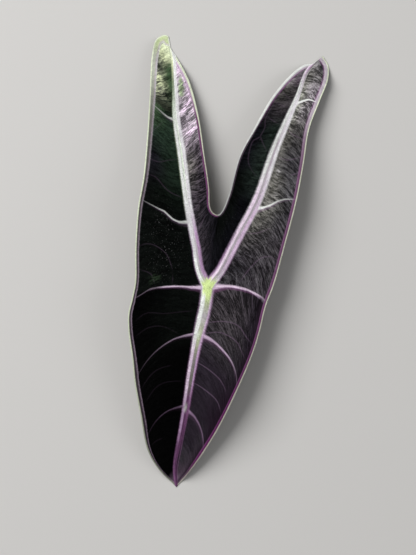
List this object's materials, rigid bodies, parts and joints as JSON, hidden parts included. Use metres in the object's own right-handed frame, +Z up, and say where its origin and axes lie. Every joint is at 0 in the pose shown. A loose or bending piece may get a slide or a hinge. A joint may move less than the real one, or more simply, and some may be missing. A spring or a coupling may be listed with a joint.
{
  "type": "purple alocasia longiloba leaf",
  "caption": "Arrow-shaped aroid leaf lying face up on its tips: dark arched blade, two long back lobes with a round notch, pale ribs and a short cut stalk underneath.",
  "frame": {"origin": "under the middle of the leaf's outline, on the surface that it lies on", "axes": "+Z up through the upper face, -Y along the midrib to the tip of the blade, +Y towards the two back lobes"},
  "size_m": [0.1418, 0.358, 0.0304],
  "materials": {
    "blade": "near black green with a grey purple sheen on top, wine red underneath, cream edge",
    "ribs": "silver white with purple edges, yellow green at the junction, mottled green stalk"
  },
  "bodies": {
    "root": {"leaf_blade": "blade", "stalk_and_ribs": "ribs"}
  },
  "joints": []
}
